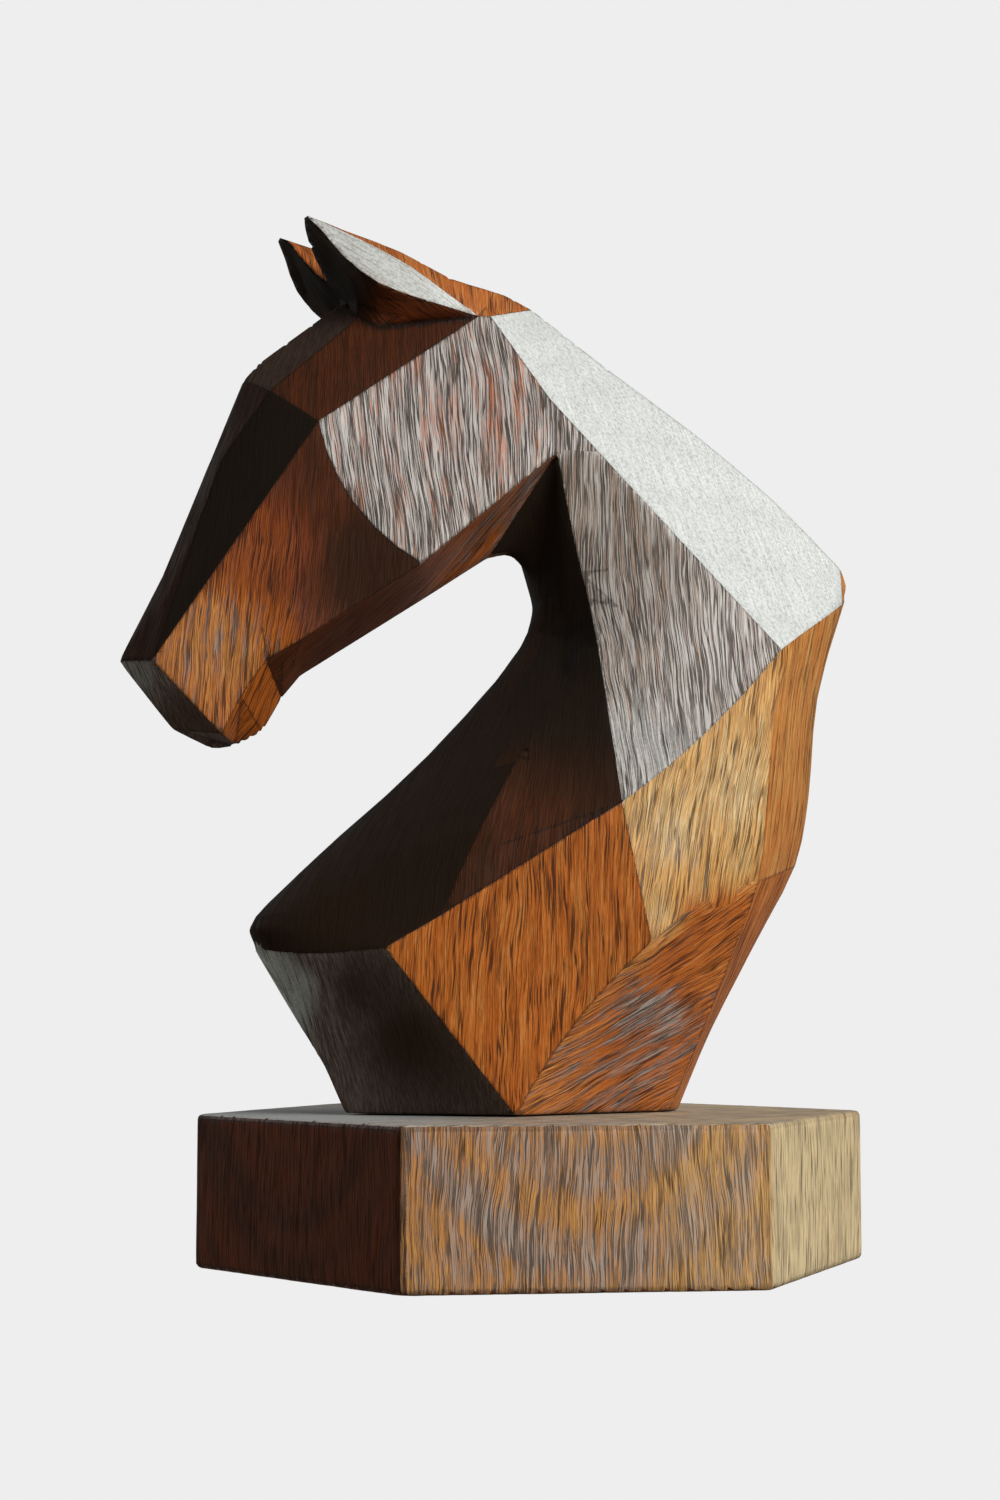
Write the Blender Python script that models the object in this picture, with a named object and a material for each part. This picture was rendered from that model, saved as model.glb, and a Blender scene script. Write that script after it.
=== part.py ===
"""Geometric wooden horse: a head and neck carved in flat facets, standing on a six-sided plinth.

Metres, +Z up, with the origin in the middle of the plinth's underside. The horse faces -X and its middle
plane is the XZ plane. Its corners are given for one side, as if drawn on a grid: how far ahead of the
plinth's middle, how far aside of the middle plane, and how far above the seat. The other side mirrors them.
"""
from math import cos, pi, radians, sin, sqrt

import bmesh
import bpy
from mathutils import Vector
from mathutils.geometry import delaunay_2d_cdt

# Driving sizes
PLINTH_ACROSS_CORNERS = 0.160
PLINTH_HEIGHT = 0.0355
PLINTH_TURN = radians(15.0)      # from the line of the horse's nose to the plinth's nearest corner
PLINTH_EDGE_ROUND = 0.0010
SEAT_GAP = 0.0003                # between the plinth's top and the horse's foot
HORSE_HEIGHT = 0.208             # from the seat to the ear tips
HORSE_WIDTH = 0.076              # across the chest, the widest place

# The grid that the horse is drawn on: this many steps tall and wide
GRID_TALL = 208.0
GRID_WIDE = 76.0
GRID_STEP = HORSE_HEIGHT / GRID_TALL
GRID_STEP_ASIDE = HORSE_WIDTH / GRID_WIDE
SEAT_LEVEL = PLINTH_HEIGHT + SEAT_GAP

PLINTH_SIDES = 6
CURVE_STEPS = 3                  # short flats that stand for one stretch of a curved edge
ARCH_STEPS = (4, 4, 4)           # the same for each stretch of the throat's arch, and for what follows it
FRONT_STEPS = (3, 3, 3, 4, 4)
FOLD_STEPS = (6, 2, 2, 3, 4)
BREAST_STEPS = 4
EDGE_ROUND_STEPS = 2
FACET_STEP = 5.0                 # grid steps between the corners inside a facet that bends
FLAT_ENOUGH = 0.1                # a facet nearer to flat than this has none
SETTLE_ROUNDS = 150
INSIDE_ONLY = 1                  # what the triangulation keeps: the triangles within the border
SAME_SPOT = 1e-6                 # grid steps apart at which two corners count as one
SHORTEST_STRETCH = 0.01          # keeps a smooth curve sound where two of its corners meet

# Corners on the middle plane: ahead, above the seat
PROFILE = {
    "ear_notch": (53.4, 195.0),
    "apex": (49.5, 191.0),
    "brow_top": (70.5, 174.0),
    "brow": (74.2, 169.5),
    "nose_high": (82.2, 149.3),
    "nose_dish": (93.0, 122.3),
    "nose_tip": (103.0, 102.2),
    "lip": (90.3, 87.3),
    "chin": (80.6, 83.0),
    "chin_low": (75.3, 84.0),
    "chin_back": (68.8, 87.5),
    "chin_groove": (64.3, 95.5),
    "jaw_front": (59.7, 101.0),
    "jaw_mid": (43.8, 111.3),
    "jaw_keel": (27.7, 121.7),
    "jaw_end": (12.5, 131.8),
    "arch_top": (6.2, 132.8),
    "arch_mid": (0.8, 127.6),
    "arch_back": (-0.5, 121.8),
    "arch_low": (3.2, 111.3),
    "neck_mid": (27.0, 84.0),
    "neck_low": (59.3, 55.0),
    "prow": (71.0, 42.4),
    "prow_low": (69.2, 38.0),
    "knee": (53.0, 10.7),
    "toe": (48.0, 0.0),
    "heel": (-37.5, 0.0),
    "back_low": (-46.3, 19.2),
    "back_hip": (-58.0, 39.0),
    "back_bend": (-70.6, 60.0),
    "back_mid": (-74.4, 76.0),
    "back_high": (-77.5, 102.0),
    "crest_end": (-86.2, 127.5),
    "crest_tip": (-87.6, 131.3),
    "crest_low": (-85.8, 136.0),
    "crest_mid": (-66.4, 152.3),
    "crest_high": (-42.9, 168.0),
    "crest_top": (-20.0, 181.5),
    "crest_front": (0.4, 194.2),
    "poll_top": (7.7, 197.1),
    "ear_valley": (30.0, 190.0),
}

# Corners aside of the middle plane: ahead, aside, above the seat
SIDE_CORNERS = {
    "ear_tip": (63.3, 10.0, 208.0),
    "ear_inner_high": (61.6, 6.0, 206.0),
    "ear_inner_mid": (60.0, 4.2, 203.1),
    "ear_inner_low": (57.7, 2.7, 199.6),
    "ear_inner_end": (55.4, 1.4, 196.9),
    "ear_outer_tip": (60.1, 13.0, 203.8),
    "ear_outer_high": (55.7, 16.5, 197.0),
    "ear_outer_mid": (47.5, 19.0, 190.8),
    "ear_outer_low": (34.6, 18.0, 188.2),
    "ear_top_high": (50.3, 13.0, 202.6),
    "ear_top_mid": (38.5, 15.0, 197.0),
    "ear_top_low": (29.5, 15.0, 191.7),
    "ear_back_high": (52.5, 9.0, 205.5),
    "ear_back_mid": (38.3, 8.0, 202.4),
    "ear_back_low": (24.7, 6.0, 198.0),
    "ear_back_end": (14.3, 3.0, 197.2),
    "ear_pit": (44.5, 9.1, 183.3),
    "ear_cup": (45.5, 8.5, 189.9),
    "forehead": (48.4, 7.0, 185.5),
    "brow_side": (70.8, 9.5, 165.5),
    "strip_high": (81.0, 5.5, 149.4),
    "strip_low": (88.0, 6.5, 130.0),
    "nostril": (97.8, 9.0, 101.6),
    "mouth": (81.5, 9.5, 85.6),
    "temple": (61.7, 17.0, 157.6),
    "poll": (20.3, 13.5, 187.3),
    "poll_back": (17.2, 13.5, 187.6),
    "crest_side": (3.8, 17.8, 167.9),
    "throat": (2.3, 18.5, 155.1),
    "throat_low": (-3.9, 15.0, 134.1),
    "throat_bend": (-7.6, 14.5, 121.1),
    "throat_mid": (-7.7, 19.5, 109.0),
    "throat_end": (-6.2, 27.0, 95.8),
    "jowl": (38.0, 22.0, 125.6),
    "jaw_chin": (77.4, 10.5, 94.3),
    "jaw_bend": (72.0, 12.0, 102.8),
    "jaw_low": (65.0, 15.0, 107.2),
    "jaw_high": (51.8, 18.5, 116.0),
    "withers": (-53.0, 27.0, 110.0),
    "chest": (-4.8, 38.0, 71.0),
    "back_corner": (-60.6, 22.3, 114.3),
    "rump_high": (-50.6, 28.0, 97.7),
    "rump_mid": (-48.1, 28.5, 76.0),
    "haunch": (-45.7, 27.5, 54.0),
    "hip": (-40.2, 25.5, 38.0),
    "hock": (-34.5, 20.5, 19.2),
    "heel_side": (-28.5, 14.5, 0.0),
    "flank": (-13.7, 35.0, 39.4),
    "foot": (17.0, 27.0, 0.0),
    "breast": (49.3, 28.5, 37.6),
    "fold_low": (37.0, 31.0, 44.8),
    "fold_mid": (26.9, 29.8, 64.4),
    "fold_high": (10.3, 21.0, 87.5),
    "fold_turn": (1.0, 17.0, 98.9),
    "fold_top": (-4.3, 9.0, 112.1),
    "knee_side": (53.8, 14.0, 25.0),
}

# How far each curved edge bows out from the straight line between its corners, in grid steps
JOWL_BOW = 4.5
SHOULDER_BOW = 2.0
LOIN_BOW = 2.2
BELLY_BOW = 2.4
PROW_DIP = 1.4

# Rows of corners from the middle plane to the side, as shares of the way, on the rounded stretches
NECK_ROWS = (0.0, 0.03, 0.07, 0.12, 0.18, 0.25, 0.34, 0.45, 0.56, 0.68, 0.84, 1.0)
PROW_SPLIT = 5                   # the rows of the prow's edge where its two upper facets end
BREAST_SPLIT = 9
BACK_ROWS = (0.0, 0.06, 0.14, 0.26, 0.42, 0.62, 0.8, 1.0)
THROAT_ROUND = 0.03              # 0 is a sharp keel, and 1 is nearly a half circle
PROW_ROUND = 0.5
BACK_ROUND = 0.3


class HalfCarving:
    """The near half of a carving: named corners, the curves between them, and the facets they bound."""

    def __init__(self):
        self.corners = {name: Vector((ahead, 0.0, up)) for name, (ahead, up) in PROFILE.items()}
        self.corners.update({name: Vector(place) for name, place in SIDE_CORNERS.items()})
        self.curves = {}
        self.facets = []

    def add_curve(self, start, end, between):
        """Keeps the corners between two named ones, so that both facets beside that edge share them."""
        self.curves[start, end] = between
        self.curves[end, start] = between[::-1]

    def bow(self, start, end, rise, towards):
        """Bends the edge between two corners into a shallow arc, pushed towards a third corner."""
        a, b = self.corners[start], self.corners[end]
        along = (b - a).normalized()
        push = self.corners[towards] - (a + b) / 2
        push = (push - along * push.dot(along)).normalized()
        names = []
        count = 2 * CURVE_STEPS
        for step in range(1, count):
            share = step / count
            name = f"{start}_{end}_{step}"
            self.corners[name] = a.lerp(b, share) + push * rise * 4 * share * (1 - share)
            names.append(name)
        self.add_curve(start, end, names)

    def flow(self, names, steps=CURVE_STEPS):
        """Runs one smooth line through named corners and returns all the names along it.

        Steps is one count for every stretch, or a count for each.
        """
        points = [self.corners[name] for name in names]
        counts = steps if isinstance(steps, tuple) else (steps,) * (len(names) - 1)
        line = [names[0]]
        for i, count in enumerate(counts):
            before = points[i - 1] if i else points[0] * 2 - points[1]
            after = points[i + 2] if i + 2 < len(points) else points[-1] * 2 - points[-2]
            between = []
            for step in range(1, count):
                name = f"{names[i]}_{names[i + 1]}_{step}"
                self.corners[name] = smooth_between(before, points[i], points[i + 1], after, step / count)
                between.append(name)
            self.add_curve(names[i], names[i + 1], between)
            line += between + [names[i + 1]]
        return line

    def facet(self, *names, hollow=None):
        """One facet: a skin stretched over its border, and flat where the border is. A hollow sinks to a corner."""
        held = []
        for name, following in zip(names, names[1:] + names[:1]):
            held.append(name)
            held += self.curves.get((name, following), [])
        around = len(held)
        points = [self.corners[name] for name in held]
        middle, along, across, level = plane_through(points)
        border = [Vector(((p - middle).dot(along), (p - middle).dot(across))) for p in points]
        heights = [(p - middle).dot(level) for p in points]
        bends = max(abs(height) for height in heights) > FLAT_ENOUGH
        flat = border + (spots_inside(border) if bends else [])
        filled = delaunay_2d_cdt(flat, [], [list(range(around))], INSIDE_ONLY, SAME_SPOT)
        triangles = reach_aside(filled[2], {number for number, p in enumerate(points) if not p.y})
        heights = settle(heights + [0.0] * (len(flat) - around), around, triangles)
        if hollow:
            pit = self.corners[hollow] - middle
            sink(heights, flat, border, Vector((pit.dot(along), pit.dot(across))), pit.dot(level))
        for number in range(around, len(flat)):
            name = f"{names[0]}_{len(self.facets)}_inside_{number}"
            self.corners[name] = middle + along * flat[number].x + across * flat[number].y + level * heights[number]
            held.append(name)
        self.facets += [[held[number] for number in triangle] for triangle in triangles]

    def skin(self, middle, side, rows, rounds, dip=0.0):
        """A surface from a line on the middle plane to a line aside of it, round over the middle plane.

        Its last edge can dip, in grid steps, below the straight line.
        """
        grid = []
        last = len(middle) - 1
        for column, (inner, outer) in enumerate(zip(middle, side)):
            a, b = self.corners[inner], self.corners[outer]
            roundness = rounds[0] + (rounds[1] - rounds[0]) * column / last
            names = [inner]
            for row, share in enumerate(rows[1:-1], 1):
                name = f"{inner}_{outer}_row_{row}"
                back = keel_share(share, roundness)
                sag = dip * 4 * share * (1 - share) * (column == last)
                up = a.z + (b.z - a.z) * back - sag
                self.corners[name] = Vector((a.x + (b.x - a.x) * back, b.y * share, up))
                names.append(name)
            names.append(outer)
            grid.append(names)
        self.add_curve(middle[0], side[0], grid[0][1:-1])
        if middle[-1] != side[-1]:
            self.add_curve(middle[-1], side[-1], grid[-1][1:-1])
        for column in range(last):
            for row in range(len(rows) - 1):
                ring = [grid[column][row], grid[column + 1][row], grid[column + 1][row + 1], grid[column][row + 1]]
                loop = [name for name, following in zip(ring, ring[1:] + ring[:1]) if name != following]
                if len(loop) > 2:
                    self.facets.append(loop)

    def solid(self, name):
        """Both halves as one closed mesh."""
        shape = bmesh.new()
        verts = {}

        def vert(corner, side):
            place = self.corners[corner]
            side = side if place.y else 0
            if (corner, side) not in verts:
                at = (-place.x * GRID_STEP, side * place.y * GRID_STEP_ASIDE, SEAT_LEVEL + place.z * GRID_STEP)
                verts[corner, side] = shape.verts.new(at)
            return verts[corner, side]

        for side in (-1, 1):
            for loop in self.facets:
                shape.faces.new([vert(corner, side) for corner in loop])
        bmesh.ops.triangulate(shape, faces=[face for face in shape.faces if len(face.verts) > 3])
        bmesh.ops.recalc_face_normals(shape, faces=shape.faces[:])
        mesh = bpy.data.meshes.new(name)
        shape.to_mesh(mesh)
        shape.free()
        return mesh


def smooth_between(before, a, b, after, share):
    """A point between a and b on the smooth curve that also takes in the corners on either side."""
    knots = [0.0]
    for p, q in ((before, a), (a, b), (b, after)):
        knots.append(knots[-1] + max(sqrt((q - p).length), SHORTEST_STRETCH))
    t = knots[1] + (knots[2] - knots[1]) * share

    def mix(p, q, low, high):
        return p * ((high - t) / (high - low)) + q * ((t - low) / (high - low))

    first = mix(before, a, knots[0], knots[1])
    second = mix(a, b, knots[1], knots[2])
    third = mix(b, after, knots[2], knots[3])
    return mix(mix(first, second, knots[0], knots[2]), mix(second, third, knots[1], knots[3]), knots[1], knots[2])


def plane_through(points):
    """The middle of a border, two directions across it and the direction that it faces."""
    middle = sum(points, Vector()) / len(points)
    facing = Vector()
    for p, q in zip(points, points[1:] + points[:1]):
        facing += (p - middle).cross(q - middle)
    facing.normalize()
    along = facing.orthogonal().normalized()
    return middle, along, facing.cross(along), facing


def spots_inside(border):
    """Evenly spaced spots within a flat border, and clear of it."""
    low = [min(p[axis] for p in border) for axis in (0, 1)]
    high = [max(p[axis] for p in border) for axis in (0, 1)]
    edges = list(zip(border, border[1:] + border[:1]))
    spots = []
    for row in range(int((high[1] - low[1]) / FACET_STEP) + 1):
        for column in range(int((high[0] - low[0]) / FACET_STEP) + 2):
            spot = Vector((low[0] + (column - row % 2 / 2) * FACET_STEP, low[1] + (row + 0.5) * FACET_STEP))
            if encloses(edges, spot) and from_border(spot, border) > FACET_STEP / 2:
                spots.append(spot)
    return spots


def from_border(spot, border):
    """How far a flat spot is from a closed border."""
    clear = []
    for p, q in zip(border, border[1:] + border[:1]):
        share = (spot - p).dot(q - p) / (q - p).length_squared
        clear.append((spot - p.lerp(q, min(max(share, 0.0), 1.0))).length)
    return min(clear)


def encloses(edges, spot):
    """Whether a flat spot is within a closed border: a line from it crosses the border an odd number of times."""
    crossed = 0
    for p, q in edges:
        if (p.y > spot.y) != (q.y > spot.y):
            crossed += spot.x < p.x + (q.x - p.x) * (spot.y - p.y) / (q.y - p.y)
    return crossed % 2 == 1


def sink(heights, flat, border, pit, depth):
    """Makes a stretched skin a hollow that is deepest at the pit and keeps a crisp rim."""
    for number in range(len(border), len(flat)):
        clear = from_border(flat[number], border)
        share = clear / (clear + (flat[number] - pit).length)
        heights[number] += depth * share * (2 - share)


def reach_aside(triangles, middle):
    """Turns the long edge of each triangle that lies in the middle plane, so that both halves don't share it."""
    triangles = [frozenset(triangle) for triangle in triangles]
    while True:
        lying = [triangle for triangle in triangles if triangle <= middle]
        if not lying:
            return [tuple(triangle) for triangle in triangles]
        aside = [triangle for triangle in triangles if not triangle <= middle]
        low, beside = next((p, q) for p in lying for q in aside if len(p & q) == 2)
        triangles = [triangle for triangle in triangles if triangle not in (low, beside)]
        triangles += [(low | beside) - {end} for end in low & beside]


def settle(heights, fixed, triangles):
    """Lets every free height come to rest midway between its neighbours, as a stretched skin does."""
    beside = {number: set() for number in range(fixed, len(heights))}
    for triangle in triangles:
        for number in triangle:
            if number >= fixed:
                beside[number].update(other for other in triangle if other != number)
    for _ in range(SETTLE_ROUNDS):
        for number, others in beside.items():
            heights[number] = sum(heights[other] for other in others) / len(others)
    return heights


def keel_share(share, roundness):
    """How far back the surface has gone, a share of the way aside of a rounded keel."""
    return (sqrt(share * share + roundness * roundness) - roundness) / (sqrt(1 + roundness * roundness) - roundness)


def carve_face(half):
    """Forehead, nose, muzzle, chin and cheek."""
    half.bow("temple", "jowl", JOWL_BOW, "nostril")
    half.facet("apex", "forehead", "brow_side", "brow", "brow_top")
    half.facet("brow", "brow_side", "strip_high", "nose_high")
    half.facet("nose_high", "strip_high", "strip_low", "nose_dish")
    half.facet("nose_dish", "strip_low", "nostril", "nose_tip")
    half.facet("nose_tip", "nostril", "lip")
    half.facet("nostril", "mouth", "lip")
    half.facet("lip", "mouth", "chin_low", "chin")
    half.facet("mouth", "jaw_chin", "chin_back", "chin_low")
    half.facet("jaw_chin", "jaw_bend", "chin_groove", "chin_back")
    half.facet("jaw_bend", "jaw_low", "jaw_front", "chin_groove")
    half.facet("jaw_low", "jaw_high", "jaw_mid", "jaw_front")
    half.facet("jaw_high", "jowl", "jaw_keel", "jaw_mid")
    half.facet("brow_side", "temple", "nostril", "strip_low", "strip_high")
    half.facet("nostril", "temple", "jowl", "jaw_high", "jaw_low", "jaw_bend", "jaw_chin", "mouth")
    half.facet("temple", "poll", "poll_back", "crest_side", "throat", "jowl")


def carve_ears(half):
    """Each ear is a blade that leans forward: a cupped front, a flat outer face, a top and an inner face."""
    half.flow(["ear_tip", "ear_inner_high", "ear_inner_mid", "ear_inner_low", "ear_inner_end", "ear_notch"], 2)
    half.flow(["ear_tip", "ear_outer_tip", "ear_outer_high", "ear_outer_mid", "ear_outer_low", "poll"], 2)
    half.flow(["ear_tip", "ear_top_high", "ear_top_mid", "ear_top_low", "poll"], 2)
    half.flow(["ear_tip", "ear_back_high", "ear_back_mid", "ear_back_low", "ear_back_end", "poll_top"], 2)
    inner = ("ear_tip", "ear_inner_high", "ear_inner_mid", "ear_inner_low", "ear_inner_end", "ear_notch")
    outer = ("poll", "ear_outer_low", "ear_outer_mid", "ear_outer_high", "ear_outer_tip")
    top = ("poll", "ear_top_low", "ear_top_mid", "ear_top_high", "ear_tip")
    back = ("ear_tip", "ear_back_high", "ear_back_mid", "ear_back_low", "ear_back_end", "poll_top")
    half.facet(*inner, "apex", "forehead", "ear_pit", *outer, hollow="ear_cup")
    half.facet("forehead", "brow_side", "temple", "poll", "ear_pit")
    half.facet(*top, *outer[:0:-1])
    half.facet(*back, "crest_front", "poll_back", *top[:-1])
    half.facet(*inner, "ear_valley", *back[:0:-1])


def carve_neck(half):
    """Crest, neck side, and the hollow front of the neck from under the jaw down to the prow."""
    arch = half.flow(["jaw_end", "arch_top", "arch_mid", "arch_back"], ARCH_STEPS)
    front = half.flow(["arch_back", "arch_low", "neck_mid", "neck_low", "prow", "prow_low"], FRONT_STEPS)
    fold = half.flow(["throat", "fold_top", "fold_turn", "fold_high", "fold_mid", "fold_low"], FOLD_STEPS)
    fold += half.flow(["fold_low", "breast"], BREAST_STEPS)[1:]
    middle = ["jaw_keel"] + arch[:-1] + front
    side = ["throat"] * (len(middle) - len(fold)) + fold
    half.skin(middle, side, NECK_ROWS, (THROAT_ROUND, PROW_ROUND), PROW_DIP)
    half.facet("jowl", "throat", "jaw_keel")
    edge = ("throat", "throat_low", "throat_bend", "throat_mid", "throat_end", "chest")
    half.flow(edge, 2)
    half.facet(*edge, "fold_low", "fold_mid", "fold_high", "fold_turn", "fold_top")
    ridge = half.flow(["crest_front", "crest_top", "crest_high", "crest_mid", "crest_low"], 2)
    side = half.flow(["poll_back", "crest_side"], 3) + half.flow(["crest_side", "withers"], 5)[1:]
    half.skin(ridge, side, (0.0, 1.0), (0.0, 0.0))
    half.bow("withers", "chest", SHOULDER_BOW, "haunch")
    half.facet("crest_side", "withers", *edge[::-1])


def carve_chest(half):
    """Shoulder, flank, back and the facets that run down to the foot."""
    spine = ["crest_end", "back_high", "back_mid", "back_bend", "back_hip", "back_low", "heel"]
    rump = ["back_corner", "rump_high", "rump_mid", "haunch", "hip", "hock", "heel_side"]
    half.skin(half.flow(spine), half.flow(rump), BACK_ROWS, (BACK_ROUND, BACK_ROUND))
    half.flow(["crest_low", "crest_tip", "crest_end"], 2)
    half.facet("withers", "back_corner", "crest_end", "crest_tip", "crest_low")
    half.bow("flank", "haunch", LOIN_BOW, "withers")
    half.bow("flank", "foot", BELLY_BOW, "breast")
    half.facet("chest", "withers", "back_corner", "rump_high", "rump_mid", "haunch", "flank")
    half.facet("breast", "fold_low", "chest", "flank", "foot")
    half.facet("foot", "flank", "haunch", "hip", "hock", "heel_side")
    low_edge = ["prow_low"] + half.curves["prow_low", "breast"] + ["breast"]
    half.facet(*low_edge[:PROW_SPLIT + 1], "knee")
    half.facet(*low_edge[PROW_SPLIT:BREAST_SPLIT + 1], "knee_side", "knee")
    half.facet(*low_edge[BREAST_SPLIT:], "foot", "toe", "knee", "knee_side")
    half.facet("toe", "foot", "heel_side", "heel")


def wood(name, colour, roughness):
    """Stained hardwood under a satin varnish."""
    material = bpy.data.materials.new(name)
    material.use_nodes = True
    shader = material.node_tree.nodes["Principled BSDF"]
    shader.inputs["Base Color"].default_value = (*colour, 1.0)
    shader.inputs["Roughness"].default_value = roughness
    shader.inputs["Metallic"].default_value = 0.0
    return material


def show(name, mesh, material):
    """Puts a finished mesh in the scene under its own name."""
    mesh.materials.append(material)
    shown = bpy.data.objects.new(name, mesh)
    bpy.context.scene.collection.objects.link(shown)
    return shown


def make_horse():
    half = HalfCarving()
    carve_ears(half)
    carve_neck(half)
    carve_face(half)
    carve_chest(half)
    show("horse_bust", half.solid("horse_bust"), wood("horse_wood", (0.30, 0.12, 0.045), 0.42))


def make_plinth():
    """A six-sided block whose edges are softly rounded."""
    shape = bmesh.new()
    radius = PLINTH_ACROSS_CORNERS / 2
    turns = [pi - PLINTH_TURN + 2 * pi * side / PLINTH_SIDES for side in range(PLINTH_SIDES)]
    base = shape.faces.new([shape.verts.new((radius * cos(turn), radius * sin(turn), 0.0)) for turn in turns])
    sides = bmesh.ops.extrude_face_region(shape, geom=[base])
    top = [item for item in sides["geom"] if isinstance(item, bmesh.types.BMVert)]
    bmesh.ops.translate(shape, verts=top, vec=(0.0, 0.0, PLINTH_HEIGHT))
    bmesh.ops.recalc_face_normals(shape, faces=shape.faces[:])
    mesh = bpy.data.meshes.new("plinth")
    shape.to_mesh(mesh)
    shape.free()
    plinth = show("plinth", mesh, wood("plinth_wood", (0.26, 0.105, 0.04), 0.45))
    rounding = plinth.modifiers.new("edge_round", "BEVEL")
    rounding.width = PLINTH_EDGE_ROUND
    rounding.segments = EDGE_ROUND_STEPS


for old in list(bpy.data.objects):
    bpy.data.objects.remove(old, do_unlink=True)
make_horse()
make_plinth()
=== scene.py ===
"""The looks of the faceted wooden horse: carved, worn facets, open-grained stained wood, and a soft studio.

Metres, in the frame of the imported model: the horse faces -X and its near side is -Y. Grain and wear are
worked out in millimetres, because that is how a carver thinks of them.
"""
from heapq import heappop, heappush
from math import cos, degrees, pi, radians, sin
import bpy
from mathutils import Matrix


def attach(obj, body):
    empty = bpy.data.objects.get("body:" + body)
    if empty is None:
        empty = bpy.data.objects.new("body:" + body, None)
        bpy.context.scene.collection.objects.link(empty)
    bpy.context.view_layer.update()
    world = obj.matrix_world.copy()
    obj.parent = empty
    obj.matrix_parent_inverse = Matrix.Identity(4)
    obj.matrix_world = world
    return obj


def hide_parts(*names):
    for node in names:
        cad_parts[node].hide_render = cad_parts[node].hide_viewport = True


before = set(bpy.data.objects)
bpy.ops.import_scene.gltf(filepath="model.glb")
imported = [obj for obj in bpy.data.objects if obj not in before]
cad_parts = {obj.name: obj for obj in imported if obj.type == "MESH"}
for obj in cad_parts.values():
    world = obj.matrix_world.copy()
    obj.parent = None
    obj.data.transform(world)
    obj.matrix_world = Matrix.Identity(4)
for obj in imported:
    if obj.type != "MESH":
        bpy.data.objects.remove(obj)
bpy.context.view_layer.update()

from types import SimpleNamespace

import bmesh
import bpy
import numpy as np
from mathutils import Euler, Vector, noise
from mathutils.bvhtree import BVHTree
from mathutils.kdtree import KDTree

MM = 0.001

# The photograph's camera, in the model's frame
FRAME_TALL = 1500                 # pixels
CAMERA_PLACE = (-0.2619, -0.5799, 0.0597)
CAMERA_TURN = radians(-23.56)     # from looking along +Y
CAMERA_RISE = radians(5.58)
FOCAL_PIXELS = 2655.0
SENSOR = 36.0                     # millimetres
SEEN_TO = 20.0                    # how far the camera sees

# The studio
PALE = "eeeeee"                   # the floor and the surroundings, as the camera sees them
DIM_ROOM = (0.08, 0.08, 0.08)     # and as the wood does
DIM_FLOOR = (0.2, 0.2, 0.18)
FLOOR_WIDE = 3.0
FLOOR_LEVEL = -0.4 * MM
LIGHT_AIM = Vector((0.0, 0.0, 0.12))
LIGHT_AWAY = 1.3
LIGHTS = {                        # the way to each from the horse, how wide it is, and its strength in watts
    "key_light": ((0.38, -0.83, 0.4), 0.7, 15.5),
    "high_light": ((0.776, -0.022, 0.63), 0.6, 5.0),
    "back_light": ((-0.5, 0.75, 0.45), 0.7, 4.0),
}

# The carved surface
WELD_REACH = 0.005 * MM
CREASE_LEAST = radians(13)        # a bend that is sharper than this is an edge between two facets
NARROW = 2.2 * MM                 # strips narrower than this make up a round stretch, and have no edges
CREASE_STEP = 0.25 * MM           # how far apart the spots along an edge are
SURFACE_STEP = 1.05 * MM          # how far apart the corners of the finished surface are
CREASE_REACH = 0.6 * MM           # corners of the surface nearer to an edge than this are moved onto it
PULL_REACH = 2.5 * MM             # and where an edge has none so near, the nearest corner is, up to this far
SETTLE_ROUNDS = 2
SETTLE_SHARE = 0.5
SMOOTH_ROUNDS = 12
SMOOTH_IN = 0.5
SMOOTH_OUT = 0.52                 # a little more than in, so that the form doesn't shrink
HELD_STEPS = 1.2                  # smoothing comes in over this many steps of the surface from an edge,
HELD_SHARE = 0.4                  # after none at all for this share of them

# Wear on the edges
WEAR_ROUNDS = 2
WEAR_SHARE = 0.6
WEAR_REACH = 1.5 * MM
WEAR_ENDS = 1.5                   # it ends at this many times its reach, and is full up to half of it
WEAR_USUAL = 0.75                 # how worn an edge usually is,
WEAR_SPREAD = 0.6                 # how much more or less than that some stretches are,
WEAR_STRETCH = 9.0 * MM           # and how long those are
WEAR_LEAST = 0.25
EVEN_ROUNDS = 3                   # of smoothing on the wear itself, so that it leaves no teeth
EVEN_SHARE = 0.5

# Tool marks on the facets
TOOL_MARK = 0.16 * MM             # how far the knife left them from flat
TOOL_MARK_LENGTH = 24.0 * MM
TOOL_MARK_EDGE = 4.0 * MM         # nearer to an edge than this the marks are shallower,
TOOL_MARK_LEAST = 0.25            # down to this share

# The plinth was sawn and planed: it has flatter faces, and no round stretches
PLINTH_STEP = 1.2 * MM
PLINTH_NARROW = 0.0
PLINTH_TOOL_MARK = 0.08 * MM
PLINTH_CURVE = 0.02               # how strongly its rings bend

# How a facet grows from its spots over the faces of its block, as a cost
COST_PER_MM = 0.05
BEND_UNIT = 5.0                   # degrees; a bend costs the square of its size in this

# How the painted sheen and the stain and shade change inside a facet, and how the grain lies there
BLEND_REACH = 4.5                 # millimetres round a spot where its sheen and shade are nearly its own
BLEND_FALL = 1.5                  # how fast its share falls beyond them
FACET_APART = 7.3                 # how far apart the grain of two facets is, so that neither runs on
LEVEL_FACET = 0.1                 # a facet this near to level has no upright, and its grain follows X
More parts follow.
